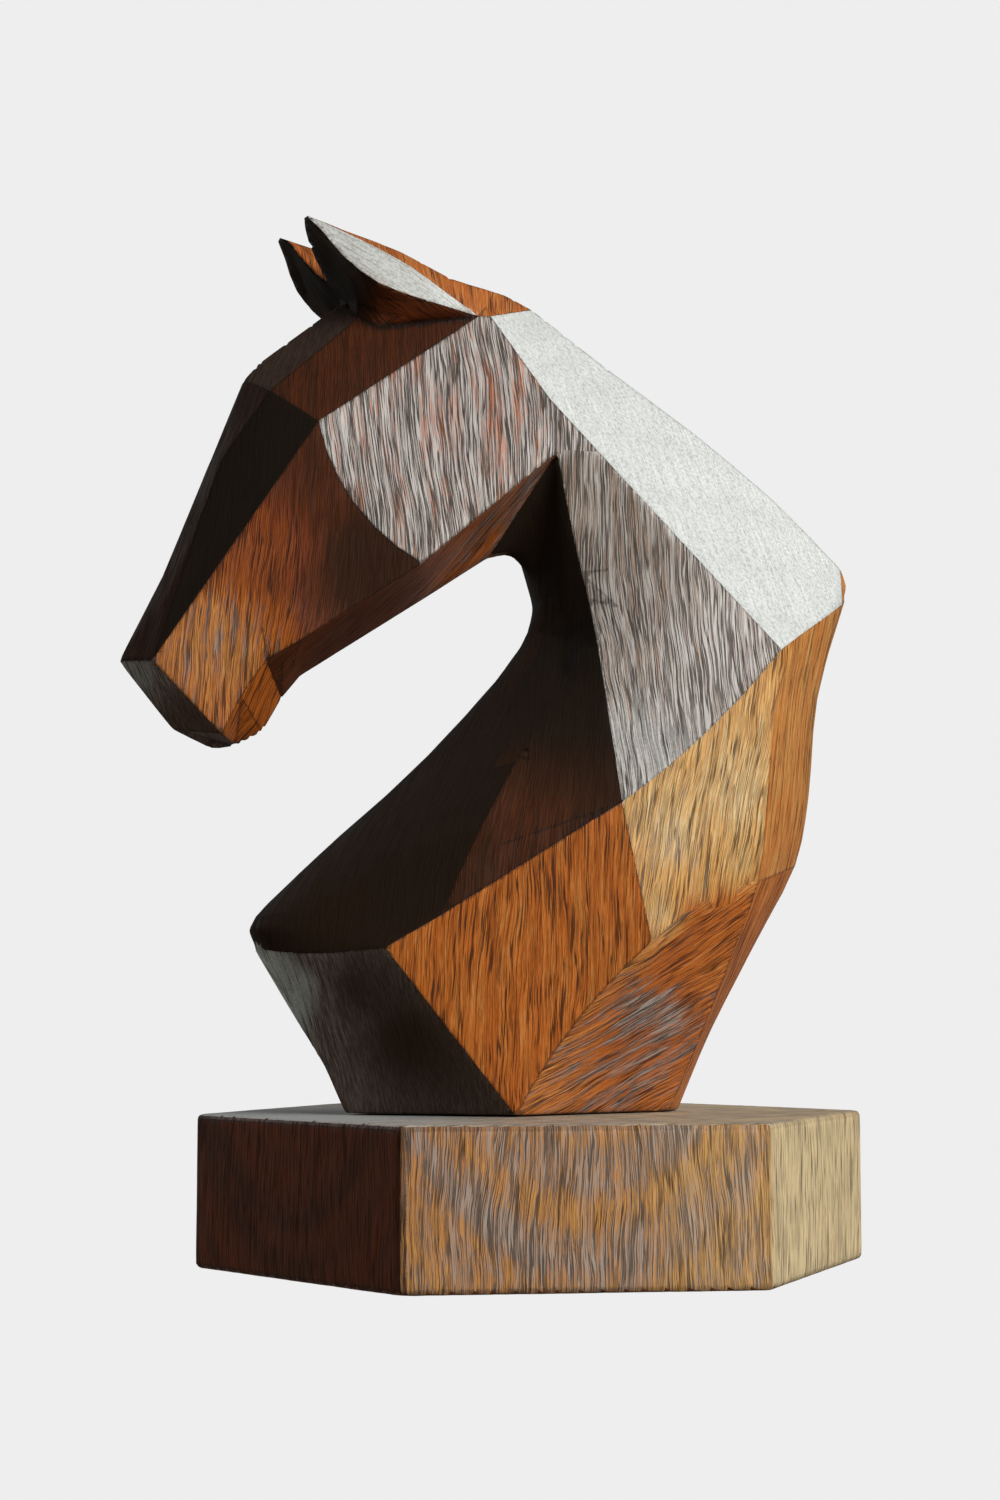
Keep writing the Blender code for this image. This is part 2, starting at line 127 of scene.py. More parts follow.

# The colours of each facet of the horse's near side, which the far side mirrors: how far the grain leans
# from the facet's own upright, in degrees and to the right, and some spots. Each spot is (x, y, z) in
# millimetres, with its painted sheen, which is drawn as lime in the grain and stands for the sheen and
# reflection of the lights on the facets that face them, and its stain and shade, from 0, nearly black, to
# 1, pale gold: the stain's own tone, with painted shade on the facets that face away from the lights, in
# the shadow of the ear and in the hollows of the throat and the ear, and painted light on the facets that
# face the lights.
HORSE_FACETS = {
    # painted white reflection of the high light along the crest
    "crest": (0, [((10, -10, 208), 1.0, 0.6), ((56, -12, 172), 1.0, 0.6)]),
    # painted sheen on the top of the ear
    "ear_top": (-60, [((-48, -17, 231), 0.97, 0.95)]),
    "ear_back": (-60, [((-24, -9, 231), 0.05, 0.62)]),
    "ear_below": (-50, [((-40, -12, 221), 0.0, 0.37)]),
    # nearly black: painted shade in the hollow of the ear
    "ear_cup": (0, [((-52, -4, 229), 0.0, 0.0)]),
    "forehead": (0, [((-63, -4, 212), 0.1, 0.17)]),
    "nose_ridge": (0, [((-78, -4, 193), 0.0, 0.15), ((-94, -4, 152), 0.0, 0.15)]),
    # painted shadow of the ear over the temple
    "temple": (0, [((-50, -12, 210), 0.0, 0.25)]),
    # nearly black: painted shade on a side that faces away from the lights
    "nose_side": (0, [((-77, -11, 178), 0.0, 0.02)]),
    # painted sheen of the key light on the cheek
    "cheek": (-3, [((-49, -18, 186), 0.7, 0.52), ((-23, -18, 195), 0.5, 0.5)]),
    "face": (4, [((-72, -15, 165), 0.0, 0.46), ((-51, -19, 162), 0.0, 0.16), ((-60, -17, 178), 0.0, 0.26),
                 ((-83, -11, 143), 0.3, 0.68)]),
    "under_jaw": (0, [((-15, -7, 171), 0.3, 0.5), ((-49, -6, 147), 0.0, 0.28)]),
    "chin_side": (0, [((-72, -5, 128), 0.1, 0.54)]),
    # painted grazing reflection on the front of the muzzle
    "muzzle": (0, [((-99, -3, 134), 0.9, 0.36), ((-88, -7, 125), 0.15, 0.24)]),
    "chin": (0, [((-84, -2, 121), 0.3, 0.3)]),
    # painted sheen of the key light on the side of the neck
    "neck_side": (-2, [((10, -18, 176), 0.84, 0.68), ((13, -17, 160), 0.86, 0.68),
                       ((14, -22, 144), 0.84, 0.63), ((9, -15.5, 162), 0.82, 0.64),
                       ((11, -17, 157), 0.82, 0.64), ((7, -15, 168), 0.8, 0.64), ((10, -18, 152), 0.82, 0.63),
                       ((14, -33, 122), 0.9, 0.62), ((25, -30, 138), 0.84, 0.62)]),
    # nearly black: painted shade in the hollow under the jaw
    "throat_wall": (0, [((-1.5, -9, 177), 0.0, 0.04), ((1.5, -15, 172), 0.0, 0.03),
                        ((4, -10, 158), 0.0, 0.04), ((6, -14, 149), 0.0, 0.0), ((3, -20, 130), 0.0, 0.04),
                        ((-16, -33, 101), 0.0, 0.24)]),
    # nearly black: painted shade on the front of the neck, which faces away from the lights
    "neck_front": (0, [((-41, -21, 96), 0.0, 0.05), ((-70.4, -1, 76.5), 0.0, 0.08),
                       ((-69, -5, 76), 0.0, 0.08), ((-66, -11, 76), 0.0, 0.08)]),
    # painted grazing reflection along the front edge of the chest, and painted shade on its near side
    "chest": (0, [((-62, -2, 62), 0.96, 0.4), ((-66.5, -1.5, 70), 0.96, 0.4), ((-60, -10, 65), 0.96, 0.4),
                  ((-53, -17, 64), 0.0, 0.1), ((-41, -19, 53), 0.0, 0.1)]),
    "neck_foot": (0, [((-12, -32, 71), 0.05, 0.62)]),
    # pale gold: the stain's tone with painted light from the key light
    "shoulder": (12, [((21, -34, 98), 0.34, 0.92), ((39, -30, 108), 0.16, 0.95), ((17, -34, 81), 0.28, 0.92),
                      ((40, -29, 93), 0.14, 0.95), ((28, -32, 88), 0.25, 0.88), ((38, -30, 90.5), 0.14, 0.92),
                      ((43, -28, 90), 0.12, 0.92)]),
    "back": (6, [((61, -18, 122), 0.0, 0.72), ((59, -17, 96), 0.0, 0.7)]),
    "rump": (8, [((42, -22, 71), 0.0, 0.6), ((56, -17, 90), 0.0, 0.64)]),
    "haunch": (62, [((19, -26, 59), 0.5, 0.5), ((42, -28, 85), 0.1, 0.5), ((21, -31, 73), 0.1, 0.55),
                    ((28, -31, 81), 0.1, 0.5), ((36, -29, 84), 0.1, 0.5), ((43, -27, 86.5), 0.1, 0.5)]),
}
# The plinth's faces, in the same form: the stain and shade of each side is painted light on the sides that
# face the lights and painted shade on those that face away
PLINTH_FACETS = {
    # painted reflection of the bright surroundings along the top, strongest at the left
    "top": (0, [((-58, 10, 35.5), 1.0, 1.0), ((45, -20, 35.5), 0.5, 1.1)]),
    "left": (0, [((-66, -20, 17), 0.0, 0.34)]),
    "front": (0, [((-45, -60, 17), 0.42, 0.7), ((-15, -67, 17), 0.44, 0.71), ((10, -74, 17), 0.42, 0.8)]),
    "right": (0, [((49, -49, 17), 0.2, 1.02)]),
    "back_right": (0, [((67, 18, 17), 0.2, 0.66)]),
    "behind": (0, [((18, 67, 17), 0.2, 0.6)]),
    "back_left": (0, [((-49, 49, 17), 0.0, 0.4)]),
    "underside": (0, [((0, 0, 0), 0.0, 0.5)]),
}

# Facets that belong together: the spots of both colour them, and only a sharp bend makes an edge between them
FLOWING = {"haunch": "shoulder", "neck_side": "cheek", "ear_below": "ear_cup"}

# Streaks are patterns that are drawn out along the grain: how many there are in a millimetre across it and
# along it, their detail and their roughness
STREAKS = {
    "slow": (0.03, 0.02, 2.0, 0.5),
    "quick": (0.25, 0.12, 2.0, 0.5),
    "lines": (2.1, 0.06, 1.0, 0.5),
    "breaks": (0.8, 0.07, 2.0, 0.5),
    "fibres": (4.5, 0.4, 2.0, 0.6),
    "patches": (0.4, 0.05, 3.0, 0.6),
    "flames": (1.2, 0.04, 3.0, 0.65),
    "rings": (0.12, 0.01, 1.0, 0.5),
}
NOISE_MIDDLE = 0.5

# The colours of the stain with its painted shade and light, from nearly black, which stands for deep
# shade, to pale gold, and where each lies between them
STAIN_AND_SHADE_RAMP = [(0.0, "1a150d"), (0.22, "3d210f"), (0.42, "80390f"),
          (0.62, "c56a20"), (0.84, "e6ad62"), (1.0, "f2d8a6")]


def welded(node):
    """A new mesh with the form of a CAD node, its corners joined."""
    shape = bmesh.new()
    shape.from_mesh(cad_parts[node].data)
    bmesh.ops.remove_doubles(shape, verts=shape.verts[:], dist=WELD_REACH)
    return shape


def flows_into(name):
    """The facet that a facet's colour belongs with: itself, or the one that it flows into."""
    near = name.removesuffix("_far")
    return FLOWING.get(near, near) + name[len(near):]


def colour_spots(name, facets):
    """The spots that colour a facet: its own, and those of the facets that belong with it."""
    together = [spots for other, (_, spots) in facets.items() if flows_into(other) == flows_into(name)]
    return [spot for spots in together for spot in spots]


def mirrored(facets):
    """The same facets, and their likes on the far side."""
    far = {name + "_far": (-lean, [((x, -y, z), sheen_share, stain_and_shade) for (x, y, z), sheen_share, stain_and_shade in spots])
           for name, (lean, spots) in facets.items()}
    return {**facets, **far}


def grow_facets(shape, facets):
    """The name of each face's facet. A facet grows outwards from its spots, and is slow to cross a bend."""
    surface = BVHTree.FromBMesh(shape)
    shape.faces.ensure_lookup_table()
    queue = []
    for name, (_, spots) in facets.items():
        for place, *_ in spots:
            heappush(queue, (0.0, surface.find_nearest(Vector(place) * MM)[2], name))
    names = {}
    while queue:
        reached, number, name = heappop(queue)
        if number in names:
            continue
        names[number] = name
        face = shape.faces[number]
        middle = face.calc_center_median()
        for edge in face.edges:
            bend = (degrees(abs(edge.calc_face_angle_signed(0.0))) / BEND_UNIT) ** 2
            for other in edge.link_faces:
                if other.index not in names:
                    walk = (other.calc_center_median() - middle).length / MM * COST_PER_MM
                    heappush(queue, (reached + walk + bend, other.index, name))
    return [names[number] for number in range(len(shape.faces))]


def is_crease(edge, names, narrow):
    """Whether two facets meet at an edge, which a narrow strip of a round stretch doesn't count as."""
    if len({names[face.index] for face in edge.link_faces}) > 1:
        return True
    if abs(edge.calc_face_angle_signed(0.0)) < CREASE_LEAST:
        return False
    return all(2 * face.calc_area() / edge.calc_length() > narrow for face in edge.link_faces)


def crease_spots(shape, names, narrow):
    """Spots all along the edges between facets, and a tree to find the nearest by."""
    spots = []
    for edge in shape.edges:
        if is_crease(edge, names, narrow):
            a, b = (vert.co for vert in edge.verts)
            count = max(int(edge.calc_length() / CREASE_STEP), 1)
            spots += [a.lerp(b, number / count) for number in range(count + 1)]
    tree = KDTree(len(spots))
    for number, spot in enumerate(spots):
        tree.insert(spot, number)
    tree.balance()
    return spots, tree


def grain_directions(shape, facets, names):
    """Across and along the grain of each facet, as two directions in it."""
    directions = {}
    for name, (lean, _) in facets.items():
        faces = [face for face in shape.faces if names[face.index] == name]
        total = sum((face.normal * face.calc_area() for face in faces), Vector())
        level = Vector((0, 0, 1)).cross(total)
        right = level.normalized() if level.length > LEVEL_FACET * total.length else Vector((0, 1, 0))
        upright = total.normalized().cross(right)
        turn = radians(lean)
        directions[name] = (right * cos(turn) - upright * sin(turn), right * sin(turn) + upright * cos(turn))
    return directions


def even_mesh(shape, step):
    """The same form in small even faces."""
    rough = bpy.data.meshes.new("rough")
    shape.to_mesh(rough)
    holder = bpy.data.objects.new("rough", rough)
    bpy.context.scene.collection.objects.link(holder)
    remesh = holder.modifiers.new("even", "REMESH")
    remesh.mode = "VOXEL"
    remesh.voxel_size = step
    bpy.context.view_layer.update()
    mesh = bpy.data.meshes.new_from_object(holder.evaluated_get(bpy.context.evaluated_depsgraph_get()))
    bpy.data.objects.remove(holder)
    return mesh


def read_numbers(items, title, wide, kind=float):
    """One number, or a row of them, from each item of a mesh."""
    numbers = np.empty(len(items) * wide, kind)
    items.foreach_get(title, numbers)
    return numbers.reshape(-1, wide) if wide > 1 else numbers


def keep_numbers(mesh, title, domain, numbers):
    """Keeps one number, or three, with each corner of a mesh or of its faces."""
    kind, field = ("FLOAT_VECTOR", "vector") if numbers.ndim > 1 else ("FLOAT", "value")
    layer = mesh.attributes.new(title, kind, domain)
    layer.data.foreach_set(field, numbers.ravel().astype(np.float32))


def edge_ends(mesh):
    """The numbers of the two corners at each edge's ends."""
    return read_numbers(mesh.edges, "vertices", 2, np.int32)


def move_corners(mesh, places):
    """Gives the corners of a mesh their new places."""
    mesh.vertices.foreach_set("co", places.ravel())
    mesh.update()


def laid_on(surface, places):
    """The places on a surface that are nearest to the places given."""
    return np.array([surface.find_nearest(place)[0] for place in places])


def relax(places, pairs, share):
    """Moves each place part of the way to the middle of its neighbours."""
    ends = np.concatenate((pairs[:, 0], pairs[:, 1]))
    others = np.concatenate((pairs[:, 1], pairs[:, 0]))
    count = np.bincount(ends, minlength=len(places))
    total = np.stack([np.bincount(ends, places[others, axis], len(places)) for axis in range(3)], 1)
    return places + (total / np.maximum(count, 1)[:, None] - places) * share[:, None]


def pull_onto_creases(places, spots, tree):
    """Brings corners onto the creases: those that are near, and for each spot of a crease the nearest one.

    Also gives how far each corner then is from a crease.
    """
    away = np.empty(len(places))
    moved = places.copy()
    for number, place in enumerate(places):
        spot, _, away[number] = tree.find(place)
        if away[number] < CREASE_REACH:
            moved[number] = spot
    corners = KDTree(len(places))
    for number, place in enumerate(places):
        corners.insert(place, number)
    corners.balance()
    closest = {}
    for spot in spots:
        _, number, gap = corners.find(spot)
        if gap < PULL_REACH and gap < closest.get(number, (PULL_REACH, None))[0]:
            closest[number] = (gap, spot)
    for number, (_, spot) in closest.items():
        moved[number] = spot
        away[number] = 0.0
    return moved, away


def settled(places, pairs, away, surface):
    """The corners evened out between the creases, on the block's own surface."""
    free = away >= CREASE_REACH
    for _ in range(SETTLE_ROUNDS):
        places = relax(places, pairs, free * SETTLE_SHARE)
        places[free] = laid_on(surface, places[free])
    return places


def split_along_creases(mesh, on_crease):
    """Cuts each four-sided face that a crease crosses from corner to corner, so that none lies across it."""
    fine = bmesh.new()
    fine.from_mesh(mesh)
    for face in fine.faces[:]:
        corners = face.verts[:]
        if len(corners) == 4:
            first, second, third, fourth = (on_crease[corner.index] for corner in corners)
            if first and third and not (second and fourth):
                bmesh.utils.face_split(face, corners[0], corners[2])
            elif second and fourth and not (first and third):
                bmesh.utils.face_split(face, corners[1], corners[3])
    fine.to_mesh(mesh)
    fine.free()


def colour_facets(mesh, facets, names, surface, directions):
    """Gives each corner of each face its place in the grain, its painted sheen, and its stain with painted
    shade.

    Sheen, stain and shade change smoothly inside a facet and into one that it belongs with, and break where
    it meets another.
    """
    middles = read_numbers(mesh.polygons, "center", 3)
    counts = read_numbers(mesh.polygons, "loop_total", 1, np.int32)
    facet_of = np.array([names[surface.find_nearest(middle)[2]] for middle in middles])
    facet_of = np.repeat(facet_of, counts)
    corners = read_numbers(mesh.loops, "vertex_index", 1, np.int32)
    places = read_numbers(mesh.vertices, "co", 3)[corners] / MM
    grain = np.zeros((len(corners), 3))
    painted_sheen = np.zeros(len(corners))
    stain_and_shade = np.zeros(len(corners))
    for number, name in enumerate(facets):
        spots = colour_spots(name, facets)
        inside = facet_of == name
        away = np.stack([((places[inside] - place) ** 2).sum(1) for place, *_ in spots], 1)
        weight = 1.0 / (away + BLEND_REACH ** 2) ** BLEND_FALL
        weight /= weight.sum(1)[:, None]
        painted_sheen[inside] = weight @ [sheen_share for _, sheen_share, _ in spots]
        stain_and_shade[inside] = weight @ [pale for _, _, pale in spots]
        for axis, direction in enumerate(directions[name]):
            grain[inside, axis] = places[inside] @ np.array(direction)
        grain[inside, 2] = number * FACET_APART
    keep_numbers(mesh, "painted_sheen", "CORNER", painted_sheen)
    keep_numbers(mesh, "stain_and_shade", "CORNER", stain_and_shade)
    keep_numbers(mesh, "grain", "CORNER", grain)


def smoothed(places, pairs, away, step):
    """The faces smoothed, by moving the corners in and out again, and the creases left as they are."""
    share = np.clip(away / (HELD_STEPS * step) - HELD_SHARE, 0.0, 1.0)
    for _ in range(SMOOTH_ROUNDS):
        places = relax(places, pairs, SMOOTH_IN * share)
        places = relax(places, pairs, -SMOOTH_OUT * share)
    return places


def worn_round(places, pairs, away):
    """The edges rounded by wear, on some stretches more than on others."""
    soft = np.clip(WEAR_ENDS - away / WEAR_REACH, 0.0, 1.0)
    stretches = np.array([noise.noise(Vector(place) / WEAR_STRETCH) for place in places])
    uneven = WEAR_USUAL + WEAR_SPREAD * stretches
    worn = places
    for _ in range(WEAR_ROUNDS):
        worn = relax(worn, pairs, WEAR_SHARE * soft * np.clip(uneven, WEAR_LEAST, 1.0))
    shift = worn - places
    for _ in range(EVEN_ROUNDS):
        shift = relax(shift, pairs, np.full(len(places), EVEN_SHARE))
    return places + shift


def tool_marked(places, facing, away, depth):
    """The faces left a little uneven by the knife, and less so near an edge."""
    marks = np.array([noise.noise(Vector(place) / TOOL_MARK_LENGTH) for place in places])
    keep = np.clip(away / TOOL_MARK_EDGE, TOOL_MARK_LEAST, 1.0)
    return places + facing * (marks * keep * depth)[:, None]


def carved(name, node, facets, step=SURFACE_STEP, narrow=NARROW, tool_mark=TOOL_MARK):
    """The worked surface of one block: flat facets with slight tool marks, and edges worn round by hand."""
    shape = welded(node)
    names = grow_facets(shape, facets)
    directions = grain_directions(shape, facets, names)
    spots, tree = crease_spots(shape, [flows_into(facet) for facet in names], narrow)
    surface = BVHTree.FromBMesh(shape)
    mesh = even_mesh(shape, step)
    shape.free()
    places, away = pull_onto_creases(laid_on(surface, read_numbers(mesh.vertices, "co", 3)), spots, tree)
    places = settled(places, edge_ends(mesh), away, surface)
    move_corners(mesh, places)
    split_along_creases(mesh, away < CREASE_REACH)
    colour_facets(mesh, facets, names, surface, directions)

    pairs = edge_ends(mesh)
    unworn = smoothed(places, pairs, away, step)
    places = worn_round(unworn, pairs, away)
    move_corners(mesh, places)
    facing = read_numbers(mesh.vertices, "normal", 3)
    loss = ((unworn - places) * facing).sum(1) / MM
    move_corners(mesh, tool_marked(places, facing, away, tool_mark))
    keep_numbers(mesh, "worn", "POINT", np.clip(loss, 0, None))
    keep_numbers(mesh, "hollow", "POINT", np.clip(-loss, 0, None))
    keep_numbers(mesh, "inland", "POINT", away / MM)
    mesh.shade_smooth()
    piece = bpy.data.objects.new(name, mesh)
    bpy.context.scene.collection.objects.link(piece)
    return piece


def hexed(text):
    """A colour by its name on a paint chart, in the linear values that a shader takes, by the sRGB curve."""
    shares = [int(text[place:place + 2], 16) / 255 for place in (0, 2, 4)]
    return tuple(share / 12.92 if share <= 0.04045 else ((share + 0.055) / 1.055) ** 2.4 for share in shares)


class Value:
    """A node's output that Python's own operators work on. Each operator adds Math nodes."""

    def __init__(self, finish, socket):
        self.finish, self.socket = finish, socket

    def math(self, operation, *others):
        """A Math node with this as its first value."""
        return self.finish.add("ShaderNodeMath", {"operation": operation}, dict(enumerate((self, *others))))

    def __add__(self, other):
        return self.math("ADD", other)

    def __sub__(self, other):
        return self.math("SUBTRACT", other)

    def __rsub__(self, other):
        return (self * -1.0) + other

    def __mul__(self, other):
        return self.math("MULTIPLY", other)

    def __abs__(self):
        return self.math("ABSOLUTE")

    __radd__ = __add__
    __rmul__ = __mul__

    def fade(self, low, high):
        """0 below low, 1 above high, and smooth between them. Low may be the larger of the two."""
        values = {"Value": self, "From Min": low, "From Max": high, "To Min": 0.0, "To Max": 1.0}
        return self.finish.add("ShaderNodeMapRange", {"interpolation_type": "SMOOTHSTEP"}, values)

    def swing(self, amount):
        """How far a pattern is from its middle, above it or below, times an amount."""
        return (self - NOISE_MIDDLE) * amount


class Finish:
    """A node tree that is written as expressions."""

    def __init__(self, tree):
        self.tree = tree
        self.tree.nodes.clear()

    def add(self, kind, settings, values, out=0):
        """One node: its settings are set first, then its sockets get their values or links."""
        node = self.tree.nodes.new(kind)
        for title, setting in settings.items():
            if title == "stops":
                self.set_stops(node.color_ramp, setting)
            else:
                setattr(node, title, setting)
        for title, value in values.items():
            socket = node.inputs[title] if isinstance(title, int) else self.find(node.inputs, title)
            if isinstance(value, Value):
                self.tree.links.new(value.socket, socket)
            else:
                socket.default_value = value
        if not node.outputs:
            return None
        return Value(self, node.outputs[out] if isinstance(out, int) else self.find(node.outputs, out))

    def find(self, sockets, title):
        """The socket with a title that the node's settings leave in use."""
        return next(socket for socket in sockets if socket.name == title and socket.enabled)

    def set_stops(self, ramp, stops):
        """Gives a ramp its colours, each with its place. The ramp has two of its own to begin with."""
        for number, (place, colour) in enumerate(stops):
            stop = ramp.elements[number] if number < 2 else ramp.elements.new(place)
            stop.position = place
            stop.color = self.opaque(colour)

    def vector(self, x, y, z):
        """Three values as one vector."""
        return self.add("ShaderNodeCombineXYZ", {}, {"X": x, "Y": y, "Z": z})

    def parts(self, vector):
        """The three values of a vector."""
        return [self.add("ShaderNodeSeparateXYZ", {}, {"Vector": vector}, axis) for axis in "XYZ"]

    def kept(self, title, out="Fac"):
        """What the mesh keeps under a title: a number, or a place with "Vector" for out."""
        return self.add("ShaderNodeAttribute", {"attribute_name": title}, {}, out)

    def noise(self, vector, detail=2.0, rough=0.5):
        """A pattern from 0 to 1 that is even in all directions."""
        values = {"Vector": vector, "Scale": 1.0, "Detail": detail, "Roughness": rough, "Lacunarity": 2.0}
        return self.add("ShaderNodeTexNoise", {"noise_dimensions": "3D"}, values, "Fac")

    def blend(self, share, first, second):
        """The first colour, with a share of the second over it."""
        values = {"Factor": share, "A": self.opaque(first), "B": self.opaque(second)}
        return self.add("ShaderNodeMix", {"data_type": "RGBA", "blend_type": "MIX"}, values, "Result")

    def opaque(self, colour):
        """A colour as a socket takes it: one by its name on the chart, or another node's as it is."""
        return colour if isinstance(colour, Value) else (*hexed(colour), 1.0)


# The fibres and the open grain
SLOW_WANDER = 7.0                 # millimetres that the fibres wander in all, from side to side
QUICK_WANDER = 0.7
GROOVE_AT = 0.45                  # a groove lies where the lines come near this,
GROOVE_WIDE = (0.10, 0.03)
RIDGE_AT = 0.57                   # and a ridge beside it
RIDGE_WIDE = (0.09, 0.03)
GROOVE_WHOLE = (0.42, 0.6)        # a groove has broken off below the first, and is whole above the second
BREAKS_APART = 3.1                # keeps the breaks from following the other streaks
PEBBLES_PER_MM = 1.3

# How much each pattern changes the stain, and how much of the painted sheen it breaks up
IN_STAIN = {"flames": 0.45, "patches": 0.35, "fibres": 0.35, "rings": 0.22}
SHEEN_GAPS = {"patches": 1.7, "flames": 0.9, "fibres": 0.9, "rings": 0.7}
BOLD_PLAIN = 0.85                 # how bold flames and patches are in wood without rings
BOLD_RINGED = 0.4                 # and in wood with them
CHANGE_LEAST = 0.1                # how much the stain changes where it is black
SHEEN_GAPS_USUAL = 0.5                # how much of the painted sheen is broken up without them


def streaks(finish, kind, across, along, facet):
    """One of the patterns that are drawn out along the grain, from 0 to 1."""
    wide, lengthwise, detail, rough = STREAKS[kind]
    return finish.noise(finish.vector(across * wide, along * lengthwise, facet), detail, rough)


def open_grain(finish, curve):
    """The patterns of the wood, the stain and painted shade and the painted sheen of each place, and what the
    patterns make of both.
    """
    straight, along, facet = finish.parts(finish.kept("grain", "Vector"))
    slow = streaks(finish, "slow", straight, along, facet)
    quick = streaks(finish, "quick", straight, along, facet)
    across = straight + slow.swing(SLOW_WANDER) + quick.swing(QUICK_WANDER)

    wood = SimpleNamespace(painted_sheen=finish.kept("painted_sheen"), stain_and_shade=finish.kept("stain_and_shade"))
    lines = streaks(finish, "lines", across, along, facet)
    wood.groove = abs(lines - GROOVE_AT).fade(*GROOVE_WIDE)
    wood.ridge = abs(lines - RIDGE_AT).fade(*RIDGE_WIDE)
    wood.whole = streaks(finish, "breaks", across, along, facet + BREAKS_APART).fade(*GROOVE_WHOLE)
    wood.fibres = streaks(finish, "fibres", across, along, facet)
    wood.patches = streaks(finish, "patches", across, along, facet)
    wood.flames = streaks(finish, "flames", across, along, facet)
    place = finish.add("ShaderNodeTexCoord", {}, {}, "Object")
    counted = [part * (1.0 / MM) * PEBBLES_PER_MM for part in finish.parts(place)]
    wood.pebbles = finish.noise(finish.vector(*counted))

    bold = BOLD_RINGED if curve else BOLD_PLAIN
    broad = (wood.flames.swing(IN_STAIN["flames"]) + wood.patches.swing(IN_STAIN["patches"])) * bold
    wood.tone = wood.stain_and_shade + (broad + wood.fibres.swing(IN_STAIN["fibres"])) * (wood.stain_and_shade + CHANGE_LEAST)
    broad = (wood.patches.swing(SHEEN_GAPS["patches"]) + wood.flames.swing(SHEEN_GAPS["flames"])) * bold
    wood.rubbed = SHEEN_GAPS_USUAL + broad + wood.fibres.swing(SHEEN_GAPS["fibres"])
    if curve:
        bow = along - straight * straight * curve
        rings = streaks(finish, "rings", bow, across, facet)
        wood.tone = wood.tone + rings.swing(IN_STAIN["rings"])
        wood.rubbed = wood.rubbed + rings.swing(SHEEN_GAPS["rings"])
    return wood


# The stained grooves
GROOVE_STAIN = "20120c"
GROOVE_DARK = 0.85
GROOVE_BROKEN = 0.25              # how much of a groove shows where it has broken off
GROOVE_SEEN = (0.0, 0.5)          # none shows on the darkest stain and painted shade


def stain_and_shade_colour(finish, wood):
    """The stain's colour, with the painted shade and light of each facet, darker in the grooves."""
    colour = finish.add("ShaderNodeValToRGB", {"stops": STAIN_AND_SHADE_RAMP}, {"Fac": wood.tone}, "Color")
    broken = GROOVE_BROKEN + wood.whole * (1.0 - GROOVE_BROKEN)
    sunk = wood.groove * broken * wood.stain_and_shade.fade(*GROOVE_SEEN) * GROOVE_DARK
    return finish.blend(sunk, colour, GROOVE_STAIN)


# The lime: painted sheen, painted highlights and painted white reflection on the facets that face the lights,
# drawn as lime in the grain
PALE_STAIN_AND_LIGHT = (0.58, 0.85)         # on stain and painted light as pale as this the painted sheen is warmer and thinner
DARK_STAIN_AND_SHADE = (0.5, 0.38)          # and on stain and painted shade as dark as this it is even
SHEEN_ENDS = (-0.3, 0.2)           # how softly the painted sheen ends where it breaks off
SHEEN_FAINT = (0.0, 0.25)
WHITE_SHEEN_FROM = (0.8, 1.0)               # painted sheen this strong turns into painted white reflection, which hides the wood
SHEEN_FIBRES = (0.35, 0.65)
SHEEN_LOW = "676059"
SHEEN_HIGH = "a39d96"
SHEEN_WARM = "c9b8a4"
SHEEN_COVER = 0.85                 # how much of the wood the painted sheen covers
SHEEN_COVER_PALE = 0.25            # and how much less on pale stain and painted light
SHEEN_GROOVE = "352b25"
SHEEN_GROOVE_DARK = 0.8
SHEEN_GROOVE_PALE = 0.3
RIDGE_HIGHLIGHT = "c8c3bb"
RIDGE_HIGHLIGHT_FROM = (0.05, 0.8)
RIDGE_LEAST = 0.12                # how bright the painted highlights on the ridges are where the sheen has broken off
RIDGE_MORE = 0.68                 # and how much brighter where it is left
WHITE_SHEEN_LOW = "afb2ad"
WHITE_SHEEN_HIGH = "ced0cc"
WHITE_SHEEN_PEBBLES = (0.3, 0.6)
WHITE_SHEEN_OPEN = (1.0, 0.94)          # grooves show through painted white reflection that is weaker than this


def painted_sheen_over(finish, wood, colour):
    """Painted sheen, drawn as lime: grey in the grain, painted highlights on the ridges, painted white
    reflection where it is strongest, and broken off in long patches.
    """
    pale = wood.stain_and_shade.fade(*PALE_STAIN_AND_LIGHT)
    even = wood.stain_and_shade.fade(*DARK_STAIN_AND_SHADE)
    left = (wood.painted_sheen - wood.rubbed).fade(*SHEEN_ENDS) * wood.painted_sheen.fade(*SHEEN_FAINT)
    left = left + (wood.painted_sheen - left) * even
    grey = finish.blend(wood.fibres.fade(*SHEEN_FIBRES), SHEEN_LOW, SHEEN_HIGH)
    grey = finish.blend(pale, grey, SHEEN_WARM)
    colour = finish.blend(left * (SHEEN_COVER - pale * SHEEN_COVER_PALE), colour, grey)
    # the grooves break the painted sheen
    sunk = wood.groove * left * (SHEEN_GROOVE_DARK - pale * SHEEN_GROOVE_PALE)
    colour = finish.blend(sunk, colour, SHEEN_GROOVE)
    # painted highlights on the ridges of the grain
    raised = wood.ridge * (1.0 - even) * wood.painted_sheen.fade(*RIDGE_HIGHLIGHT_FROM) * (RIDGE_LEAST + left * RIDGE_MORE)
    colour = finish.blend(raised, colour, RIDGE_HIGHLIGHT)
    # painted white reflection where the sheen is strongest, as along the crest and the plinth's top
    white = finish.blend(wood.pebbles.fade(*WHITE_SHEEN_PEBBLES), WHITE_SHEEN_LOW, WHITE_SHEEN_HIGH)
    closed = 1.0 - wood.groove * wood.whole * wood.painted_sheen.fade(*WHITE_SHEEN_OPEN)
    return finish.blend(wood.chalky * closed, colour, white)


